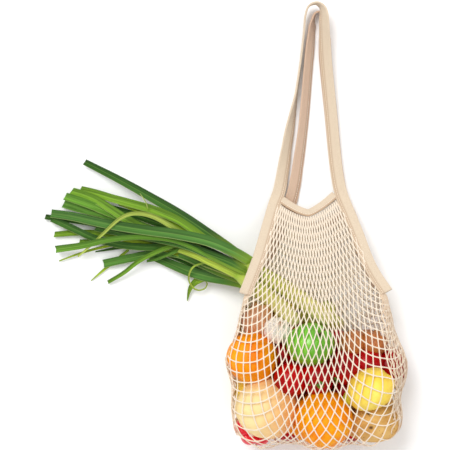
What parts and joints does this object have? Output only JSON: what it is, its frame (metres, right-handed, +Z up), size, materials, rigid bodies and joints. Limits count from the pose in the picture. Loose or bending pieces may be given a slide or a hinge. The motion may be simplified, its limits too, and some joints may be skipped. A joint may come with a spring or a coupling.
{
  "type": "mesh market bag",
  "caption": "Cotton string market bag with two woven handles, filled with fruit, vegetables and leeks, lying on its back.",
  "frame": {"origin": "on the floor under the middle of the whole lying bag", "axes": "+Z up from the floor, +Y towards the top of the handles, +X to the right of the shown side"},
  "size_m": [0.5435, 0.6712, 0.1435],
  "materials": {
    "net": "knitted cream cotton cord",
    "webbing": "woven natural cotton twill band",
    "leek": "smooth waxy leek leaf, pale at the stalk",
    "fruit": "fruit and vegetable skins, dimpled or smooth"
  },
  "bodies": {
    "root": {"net_bag": "net", "front_handle": "webbing", "back_handle": "webbing", "front_hem": "webbing", "back_hem": "webbing", "leek_a": "leek", "leek_b": "leek", "leek_c": "leek"}
  },
  "joints": []
}
